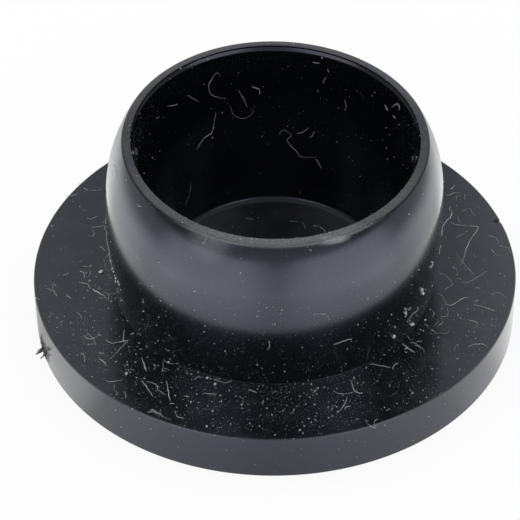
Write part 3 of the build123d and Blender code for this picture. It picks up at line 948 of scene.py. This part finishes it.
# Crumbs of lint and chips of plastic, as (x, y) or (bearing, height) and their width in mm.
FLANGE_CRUMBS = (
    (-14.57, 0.52, 0.34), (-11.85, -7.02, 0.15), (-11.27, -6.88, 0.18), (12.29, -5.71, 0.20),
    (-5.13, -13.35, 0.26), (-12.40, -12.01, 0.24), (-8.90, -10.57, 0.17), (-5.73, -12.50, 0.17),
    (-4.44, -11.99, 0.14), (1.87, -18.97, 0.18), (-5.79, -18.39, 0.17), (-14.62, 3.99, 0.10),
    (-15.40, -0.50, 0.16), (-13.65, -3.09, 0.18), (-14.52, -1.51, 0.12), (-13.58, 0.88, 0.10),
    (-10.34, -7.77, 0.10), (-7.05, -15.36, 0.13), (2.11, -19.33, 0.13), (6.26, -13.82, 0.10),
)
COLLAR_CRUMBS = (
    (331.1, 8.50, 0.26), (332.5, 7.78, 0.26), (321.1, 8.20, 0.20), (321.3, 7.72, 0.20),
    (316.7, 5.64, 0.28), (316.5, 6.94, 0.15), (339.4, 9.99, 0.15), (295.6, 7.17, 0.10),
    (296.6, 14.12, 0.10), (325.0, 17.78, 0.12), (320.0, 16.75, 0.10), (223.0, 16.28, 0.10),
    (259.5, 13.22, 0.10), (263.6, 14.13, 0.10), (247.9, 13.49, 0.09), (238.8, 13.37, 0.09),
    (263.9, 6.62, 0.14), (247.5, 15.45, 0.08), (275.7, 13.70, 0.08), (255.3, 10.52, 0.08),
    (328.3, 4.94, 0.26), (327.2, 5.15, 0.20), (313.8, 8.85, 0.12), (335.5, 12.14, 0.10),
    (341.1, 10.77, 0.10), (337.9, 10.10, 0.10), (187.8, 8.44, 0.16), (191.7, 8.61, 0.14),
    (193.0, 8.49, 0.10), (195.1, 8.52, 0.12), (195.4, 8.11, 0.18), (196.7, 7.95, 0.14),
    (197.8, 7.83, 0.22), (196.9, 7.31, 0.20), (200.3, 8.07, 0.20), (201.5, 7.94, 0.18),
    (202.3, 7.51, 0.16), (201.7, 6.13, 0.20), (205.0, 9.97, 0.10), (206.3, 10.05, 0.10),
)


def fibre_routes(form, marks, half_thickness):
    """Every long fibre and crumb as its thickness and its points in metres, a fibre's width
    clear of the surface that it lies on."""
    clear = 0.03 * MM
    for x, y, width in FLANGE_CRUMBS:
        place = Vector((x * MM, y * MM, form.flange_top + clear))
        end = place + Vector((1.1, 0.6, 0.3)) * width * MM
        yield width * MM / 2 / half_thickness, [place, end]
    for degrees, height, width in COLLAR_CRUMBS:
        radius = barrel_radius(form, height * MM) + clear
        place = warped(wall_point(radius, degrees, height * MM), form, marks)
        end = place + Vector((0.4, 0.2, 1.2)) * width * MM
        yield width * MM / 2 / half_thickness, [place, end]
    for height, group in ((form.flange_top, FLANGE_FIBRES), (form.cup_floor, FLOOR_FIBRES)):
        for thick, route in group:
            yield thick, [Vector((x * MM, y * MM, height + clear)) for x, y in route]
    walls = ((barrel_radius, 1, COLLAR_FIBRES), (cup_radius, -1, CUP_FIBRES))
    for radius_at, side, group in walls:
        for thick, route in group:
            points = []
            for degrees, height in route:
                radius = radius_at(form, height * MM) + side * clear
                points.append(warped(wall_point(radius, degrees, height * MM), form, marks))
            yield thick, points


# --- operators --------------------------------------------------------------------

class CAP_OT_mould_body(bpy.types.Operator):
    """Turn the cap's section into its finely shaped body, which stands for the CAD solid"""

    bl_idname = "cap.mould_body"
    bl_label = "Mould the cap"

    def execute(self, context):
        form, marks, finish = (context.scene.cap_form, context.scene.cap_marks,
                               context.scene.cap_finish)
        section = cap_section(form)
        chain = bpy.data.meshes.new("section")
        chain.from_pydata([(p.x, 0, p.y) for p in section],
                          [(i, i + 1) for i in range(len(section) - 1)], [])
        plastic = moulded_polyethylene(finish, marks, form)
        body = grown("cap_moulding", chain, lathe_tree(), plastic, Facets_Round=form.turns,
                     Crowding=form.crowding, Crowding_Bearing=marks.nick_bearing)
        work = bmesh.new()
        work.from_mesh(body.data)
        for vert in work.verts:
            vert.co = marked(vert.co, form, marks)
        bmesh.ops.recalc_face_normals(work, faces=work.faces)
        work.to_mesh(body.data)
        work.free()
        settle(body)
        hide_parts("cap_body")
        return {"FINISHED"}


def spur(work, path, widths, rng):
    """Add a ragged closed shred along a path, with this half width at each of its points."""
    sides = 7
    rings = []
    for here, (point, width) in enumerate(zip(path, widths)):
        ahead = path[min(here + 1, len(path) - 1)] - path[max(here - 1, 0)]
        across = ahead.cross(Vector((0, 0, 1))).normalized()
        upward = across.cross(ahead).normalized()
        ring = []
        for k in range(sides):
            turn = math.tau * k / sides
            reach = width * rng.uniform(0.6, 1.3)
            side = across * math.cos(turn) + upward * math.sin(turn)
            ring.append(work.verts.new(point + side * reach))
        rings.append(ring)
    for low, high in zip(rings, rings[1:]):
        for k in range(sides):
            work.faces.new((low[k], low[(k + 1) % sides], high[(k + 1) % sides], high[k]))
    work.faces.new(reversed(rings[0]))
    work.faces.new(rings[-1])


# Each shred of the gate: where it starts and ends (along the side, up) in millimetres, how far
# out it goes as a share of the stub, and half the thickness of its foot in millimetres.
GATE_SHREDS = (
    ((0.05, -0.05), (0.10, -0.42), 1.00, 0.26), ((0.25, -0.25), (0.45, -0.70), 0.62, 0.22),
    ((-0.15, 0.05), (-0.02, -0.22), 0.80, 0.22), ((0.0, 0.25), (-0.05, 0.12), 0.30, 0.20),
    ((0.35, 0.05), (0.55, -0.15), 0.35, 0.14), ((-0.35, 0.20), (-0.40, 0.10), 0.22, 0.12),
)
SHRED_STEPS = 6        # stretches along a shred


class CAP_OT_tear_gate(bpy.types.Operator):
    """Add the shreds that stick out where the moulding was torn off its runner"""

    bl_idname = "cap.tear_gate"
    bl_label = "Tear the gate"

    def execute(self, context):
        form, marks = context.scene.cap_form, context.scene.cap_marks
        rng = random.Random(context.scene.cap_dirt.seed)
        outward = outward_at(marks.gate_bearing)
        along = Vector((-outward.y, outward.x, 0))
        foot = outward * (form.flange_radius - form.flange_lean * 0.7 - marks.gate_pit)
        foot.z = marks.gate_height
        work = bmesh.new()
        for start, end, out, thick in GATE_SHREDS:
            path = []
            for step in range(SHRED_STEPS + 1):
                share = step / SHRED_STEPS
                side = start[0] + (end[0] - start[0]) * share ** 1.3
                rise = start[1] + (end[1] - start[1]) * share ** 1.6
                reach = (marks.gate_stub * out + marks.gate_pit) * share
                path.append(foot + outward * reach + along * side * MM + Vector((0, 0, rise * MM)))
            widths = [thick * MM * (1 - 0.82 * step / SHRED_STEPS)
                      for step in range(SHRED_STEPS + 1)]
            spur(work, path, widths, rng)
        bmesh.ops.recalc_face_normals(work, faces=work.faces)
        mesh = bpy.data.meshes.new("gate_shreds")
        work.to_mesh(mesh)
        work.free()
        mesh.polygons.foreach_set("use_smooth", [True] * len(mesh.polygons))
        settle(new_object("gate_shreds", mesh, torn_polyethylene(context.scene.cap_finish)))
        return {"FINISHED"}


class CAP_OT_settle_dust(bpy.types.Operator):
    """Scatter dust specks and short lint over the cap, most of it in front of the collar"""

    bl_idname = "cap.settle_dust"
    bl_label = "Settle the dust"

    def execute(self, context):
        form, dirt, finish = (context.scene.cap_form, context.scene.cap_dirt,
                              context.scene.cap_finish)
        ground = bpy.data.objects["cap_moulding"].data.copy()
        ground.materials.clear()
        shares = [dirt_share(form, vert.co, vert.normal) for vert in ground.vertices]
        for name, column in (("dust", 0), ("lint", 1)):
            layer = ground.attributes.new(name, "FLOAT", "POINT")
            layer.data.foreach_set("value", [share[column] for share in shares])
        dust = pale_dirt("mineral_dust", finish.dust, 0.55, 9.0)
        settle(grown("dust_specks", ground.copy(), speck_tree(), dust, Density=dirt.specks,
                     Seed=dirt.seed, Smallest=dirt.speck_small, Largest=dirt.speck_large))
        lint = pale_dirt("cotton_lint", finish.lint, 0.6, 1.2)
        settle(grown("lint_shreds", ground, shred_tree(), lint, Density=dirt.shreds,
                     Seed=dirt.seed + 1, Shortest=dirt.shred_short, Longest=dirt.shred_long,
                     Half_Thickness=dirt.fibre * 0.75))
        return {"FINISHED"}


class CAP_OT_lay_fibres(bpy.types.Operator):
    """Lay the long lint fibres and the crumbs on the flange, on the collar and in the cup"""

    bl_idname = "cap.lay_fibres"
    bl_label = "Lay the fibres"

    def execute(self, context):
        form, marks, dirt = (context.scene.cap_form, context.scene.cap_marks,
                             context.scene.cap_dirt)
        verts, edges, thicknesses = [], [], []
        for thick, route in fibre_routes(form, marks, dirt.fibre):
            edges += [(len(verts) + i, len(verts) + i + 1) for i in range(len(route) - 1)]
            verts += route
            thicknesses += [thick] * len(route)
        chains = bpy.data.meshes.new("fibre_routes")
        chains.from_pydata(verts, edges, [])
        chains.attributes.new("thick", "FLOAT", "POINT").data.foreach_set("value", thicknesses)
        lint = bpy.data.materials["cotton_lint"]
        settle(grown("lint_fibres", chains, fibre_tree(), lint, Half_Thickness=dirt.fibre,
                     Step=0.07 * MM))
        return {"FINISHED"}


class CAP_OT_set_stage(bpy.types.Operator):
    """Set the pale table, the soft light and the camera"""

    bl_idname = "cap.set_stage"
    bl_label = "Set the stage"

    def execute(self, context):
        stage = context.scene.cap_stage
        lay_table(stage)
        light_studio(context.scene)
        place_camera(context.scene, stage)
        context.scene.view_settings.view_transform = "Standard"
        return {"FINISHED"}


def facing(tree, direction, aim, low, high, at):
    """How far a direction points along an aim or its mirror image across the picture's middle,
    from 0 where their cosine is low to 1 where it is high."""
    parts = add(tree, "ShaderNodeSeparateXYZ", at, in_0=direction)
    side = add(tree, "ShaderNodeMath", (at[0] + 160, at[1]), operation="ABSOLUTE", in_0=parts)
    mirrored = add(tree, "ShaderNodeCombineXYZ", (at[0] + 320, at[1]), in_0=side,
                   in_1=parts.outputs[1], in_2=parts.outputs[2])
    cosine = add(tree, "ShaderNodeVectorMath", (at[0] + 480, at[1]), operation="DOT_PRODUCT",
                 in_0=mirrored, in_1=aim)
    return add(tree, "ShaderNodeMapRange", (at[0] + 640, at[1]), interpolation_type="SMOOTHSTEP",
               in_0=cosine.outputs["Value"], in_1=low, in_2=high).outputs[0]


def lay_table(stage):
    """A white table top. Looked at directly it is white and keeps a soft shadow of the cap. Its
    image in the plastic is painted: for mirrored rays it glows with a painted reflection,
    brightest beside the cap and towards the soft boxes, with a painted shadow where the cap shades
    it, and it fades away into the room."""
    half = stage.table_size / 2
    below = -0.01 * MM
    mesh = bpy.data.meshes.new("table")
    mesh.from_pydata([(-half, -half, below), (half, -half, below), (half, half, below),
                      (-half, half, below)], [], [(0, 1, 2, 3)])
    material, tree = new_material("matt_white_table")
    path = add(tree, "ShaderNodeLightPath", (-1000, 500))
    direct = add(tree, "ShaderNodeMath", (-800, 500), operation="MAXIMUM",
                 in_0=path.outputs["Is Camera Ray"], in_1=path.outputs["Is Glossy Ray"])
    direct = add(tree, "ShaderNodeMath", (-600, 500), operation="MAXIMUM", in_0=direct,
                 in_1=path.outputs["Is Transmission Ray"])
    share = add(tree, "ShaderNodeMath", (-400, 500), operation="MULTIPLY", in_0=direct, in_1=0.90)

    place = add(tree, "ShaderNodeTexCoord", (-1800, 0))
    way = add(tree, "ShaderNodeVectorMath", (-1600, 0), operation="NORMALIZE",
              in_0=place.outputs["Object"])
    gap = add(tree, "ShaderNodeVectorMath", (-1600, -300), operation="LENGTH",
              in_0=place.outputs["Object"])
    # The table's bright strip lies a little nearer on the right.
    turned = add(tree, "ShaderNodeSeparateXYZ", (-1600, -700), in_0=way)
    right = add(tree, "ShaderNodeMapRange", (-1400, -700), in_0=turned.outputs["X"], in_1=0.0,
                in_2=0.5, in_4=0.008)
    strip = add(tree, "ShaderNodeMath", (-1350, -900), operation="ADD", in_0=gap.outputs["Value"],
                in_1=right)
    boxes = facing(tree, way, (0.66, -0.75, 0), 0.76, 0.97, (-1400, 0))
    beside = facing(tree, way, (0.966, 0.259, 0), 0.75, 0.96, (-1400, 250))
    fade = add(tree, "ShaderNodeMapRange", (-1200, -300), in_0=gap.outputs["Value"], in_1=0.03,
               in_2=0.20, in_3=0.80, in_4=0.30)
    dim = add(tree, "ShaderNodeMapRange", (-1200, -400), in_0=turned.outputs["Y"], in_1=-0.20,
              in_2=-0.65, in_3=0.76, in_4=1.0)
    fade = add(tree, "ShaderNodeMath", (-1000, -400), operation="MULTIPLY", in_0=fade, in_1=dim)
    # Painted shadow of the cap, in what the plastic mirrors of the table.
    shade = add(tree, "ShaderNodeMapRange", (-1200, -550), interpolation_type="SMOOTHSTEP",
                in_0=gap.outputs["Value"], in_1=0.020, in_2=0.034, in_3=0.59, in_4=1.0)
    close = add(tree, "ShaderNodeMapRange", (-1200, -800), interpolation_type="SMOOTHSTEP",
                in_0=strip, in_1=0.040, in_2=0.090, in_3=1.18, in_4=0.35)
    bright = add(tree, "ShaderNodeMapRange", (-800, -200), in_0=gap.outputs["Value"], in_1=0.024,
                 in_2=0.034, in_3=0.95, in_4=1.16)
    glow = add(tree, "ShaderNodeMix", (-600, -100), data_type="FLOAT", in_0=boxes, in_2=fade,
               in_3=bright)
    glow = add(tree, "ShaderNodeMath", (-450, -200), operation="MULTIPLY", in_0=glow, in_1=shade)
    ahead = add(tree, "ShaderNodeMapRange", (-1000, -600), in_0=turned.outputs["X"], in_1=-0.5,
                in_2=0.5, in_3=0.64, in_4=0.52)
    behind = add(tree, "ShaderNodeMapRange", (-800, -600), in_0=turned.outputs["Y"], in_1=0.38,
                 in_2=0.55, in_3=ahead, in_4=0.98)
    foot = add(tree, "ShaderNodeMapRange", (-600, -500), interpolation_type="SMOOTHSTEP",
               in_0=gap.outputs["Value"], in_1=0.020, in_2=0.048, in_3=behind, in_4=1.0)
    # Right under the flange's side it is brighter on the right than on the left.
    under = add(tree, "ShaderNodeMapRange", (-1000, -1000), in_0=gap.outputs["Value"], in_1=0.0255,
                in_2=0.0235)
    tilt = add(tree, "ShaderNodeMapRange", (-1000, -1200), in_0=turned.outputs["X"], in_1=-0.97,
               in_2=0.97, in_3=-0.22, in_4=0.26)
    foot = add(tree, "ShaderNodeMath", (-500, -700), operation="MULTIPLY_ADD", in_0=under,
               in_1=tilt, in_2=foot)
    close = add(tree, "ShaderNodeMath", (-450, -500), operation="MULTIPLY", in_0=close, in_1=foot)
    glow = add(tree, "ShaderNodeMix", (-300, -100), data_type="FLOAT", in_0=beside, in_2=glow,
               in_3=close)
    # A patch close to the cap at the front left is brighter again.
    corner = facing(tree, way, (0.918, -0.396, 0), 0.955, 1.0, (-1400, -1400))
    corner = add(tree, "ShaderNodeMath", (-500, -1200), operation="MULTIPLY", in_0=corner,
                 in_1=under)
    left = add(tree, "ShaderNodeMapRange", (-500, -1400), in_0=turned.outputs["X"], in_1=-0.5,
               in_2=0.5, in_3=0.60, in_4=0.20)
    corner = add(tree, "ShaderNodeMath", (-350, -1200), operation="MULTIPLY_ADD", in_0=corner,
                 in_1=left, in_2=1.0)
    glow = add(tree, "ShaderNodeMath", (-200, -300), operation="MULTIPLY", in_0=glow, in_1=corner)
    # Mirrored rays see the painted reflection; looked at directly the table glows plain white.
    strength = add(tree, "ShaderNodeMix", (-150, 0), data_type="FLOAT",
                   in_0=path.outputs["Is Glossy Ray"], in_2=1.0, in_3=glow)
    white = add(tree, "ShaderNodeEmission", (0, -100), in_Color=(1, 1, 1, 1), in_Strength=strength)
    paint = add(tree, "ShaderNodeBsdfDiffuse", (0, 100), in_Color=(*stage.table, 1))
    mix = add(tree, "ShaderNodeMixShader", (200, 0), in_0=share, in_1=paint, in_2=white)
    add(tree, "ShaderNodeOutputMaterial", (400, 0), in_Surface=mix)
    new_object("table", mesh, material)


def light_studio(scene):
    """Even white light from all round. What the plastic mirrors of it is a dim room with a pale
    wall behind the cap and a soft box low at the front on each side."""
    world = bpy.data.worlds.new("soft_studio")
    world.use_nodes = True
    tree = world.node_tree
    tree.nodes.clear()
    place = add(tree, "ShaderNodeTexCoord", (-1700, 0))
    way = place.outputs["Generated"]
    boxes = facing(tree, way, (0.58, -0.67, 0.46), 0.88, 0.985, (-1500, 250))
    wall = facing(tree, way, (0.0, 0.80, 0.60), 0.60, 1.0, (-1500, 0))
    low = facing(tree, way, (0.0, -0.98, 0.0), 0.60, 1.0, (-1500, -250))
    glow = add(tree, "ShaderNodeMath", (-650, -100), operation="MULTIPLY_ADD", in_0=wall,
               in_1=0.20, in_2=0.15)
    glow = add(tree, "ShaderNodeMath", (-500, -100), operation="MULTIPLY_ADD", in_0=low, in_1=0.14,
               in_2=glow)
    glow = add(tree, "ShaderNodeMix", (-350, -50), data_type="FLOAT", in_0=boxes, in_2=glow,
               in_3=0.8)
    path = add(tree, "ShaderNodeLightPath", (-500, 300))
    strength = add(tree, "ShaderNodeMix", (-180, 0), data_type="FLOAT",
                   in_0=path.outputs["Is Glossy Ray"], in_2=1.0, in_3=glow)
    light = add(tree, "ShaderNodeBackground", (0, 0), in_Color=(1, 1, 1, 1), in_Strength=strength)
    add(tree, "ShaderNodeOutputWorld", (200, 0), in_Surface=light)
    scene.world = world


def place_camera(scene, stage):
    """A long lens that looks down on the cap."""
    lens = bpy.data.cameras.new("camera")
    camera = bpy.data.objects.new("camera", lens)
    scene.collection.objects.link(camera)
    pitch = stage.camera_elevation
    back = Vector((0, -math.cos(pitch), math.sin(pitch)))
    up = Vector((0, math.sin(pitch), math.cos(pitch)))
    aim = Vector((0, 0, FLANGE_TOP)) + up * stage.view_down - Vector((1, 0, 0)) * stage.view_right
    level = Euler((math.pi / 2 - pitch, 0, 0)).to_matrix()
    turn = level @ Matrix.Rotation(stage.camera_roll, 3, "Z")
    camera.location = aim + back * stage.camera_distance
    camera.rotation_euler = turn.to_euler()
    lens.lens = lens.sensor_width * stage.camera_distance / stage.view_width
    lens.clip_end = 100
    scene.camera = camera


class CAP_PT_panel(bpy.types.Panel):
    """Lists the settings and the steps in the 3D view's sidebar"""

    bl_label = "Protective cap"
    bl_space_type = "VIEW_3D"
    bl_region_type = "UI"
    bl_category = "Cap"

    def draw(self, context):
        for group in GROUPS:
            box = self.layout.box()
            settings = getattr(context.scene, group)
            for name in settings.__annotations__:
                box.prop(settings, name)
        for step in STEPS:
            self.layout.operator(step.bl_idname)


GROUPS = {"cap_form": CapForm, "cap_marks": CapMarks, "cap_dirt": CapDirt, "cap_finish": CapFinish,
          "cap_stage": CapStage}
STEPS = (CAP_OT_mould_body, CAP_OT_tear_gate, CAP_OT_settle_dust, CAP_OT_lay_fibres,
         CAP_OT_set_stage)


def register():
    for name, group in GROUPS.items():
        bpy.utils.register_class(group)
        setattr(bpy.types.Scene, name, bpy.props.PointerProperty(type=group))
    for step in (*STEPS, CAP_PT_panel):
        bpy.utils.register_class(step)


def unregister():
    for step in (*STEPS, CAP_PT_panel):
        bpy.utils.unregister_class(step)
    for name, group in GROUPS.items():
        delattr(bpy.types.Scene, name)
        bpy.utils.unregister_class(group)


def main():
    """Build the cap and its stage."""
    register()
    bpy.ops.cap.mould_body()
    bpy.ops.cap.tear_gate()
    bpy.ops.cap.settle_dust()
    bpy.ops.cap.lay_fibres()
    bpy.ops.cap.set_stage()


if __name__ == "__main__":
    main()
